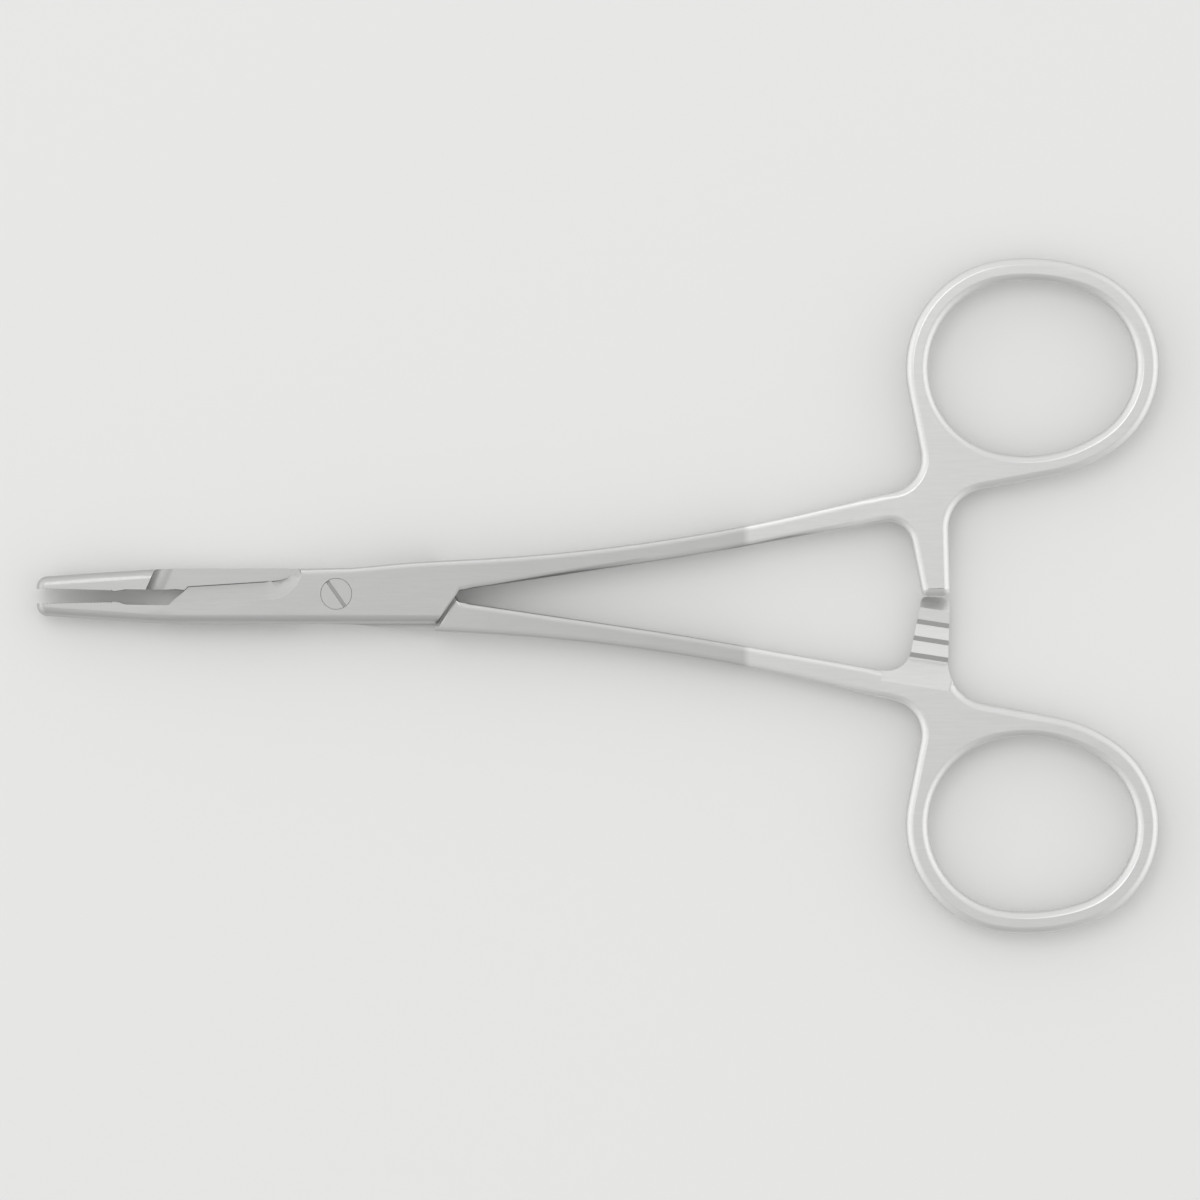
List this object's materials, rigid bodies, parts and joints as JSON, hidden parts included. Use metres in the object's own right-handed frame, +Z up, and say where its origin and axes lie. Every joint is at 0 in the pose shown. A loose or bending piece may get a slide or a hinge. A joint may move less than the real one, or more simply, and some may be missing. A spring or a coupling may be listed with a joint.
{
  "type": "surgical needle holder",
  "caption": "Needle holder with short grooved jaws, scissor blades behind them, a lap joint with a slotted screw, long shanks, a ratchet and finger rings.",
  "frame": {"origin": "centre of the pivot screw's flush foot, on the underside of the joint", "axes": "+X from the pivot to the finger rings, +Y to the ring of the front half, +Z up along the pivot, out of the screw's slotted head"},
  "size_m": [0.1395, 0.084, 0.005],
  "materials": {
    "satin_steel": "bead-blasted stainless steel, lighter on the ring side",
    "screw_steel": "satin stainless steel"
  },
  "bodies": {
    "back": {"back_half": "satin_steel", "pivot_screw": "screw_steel"},
    "front": {"front_half": "satin_steel"}
  },
  "joints": [
    {"name": "pivot", "type": "hinge", "parent": "back", "child": "front", "pos_m": [0, 0, 0.0025], "axis": [0, 0, 1], "range_deg": [-2.6, 87]}
  ]
}
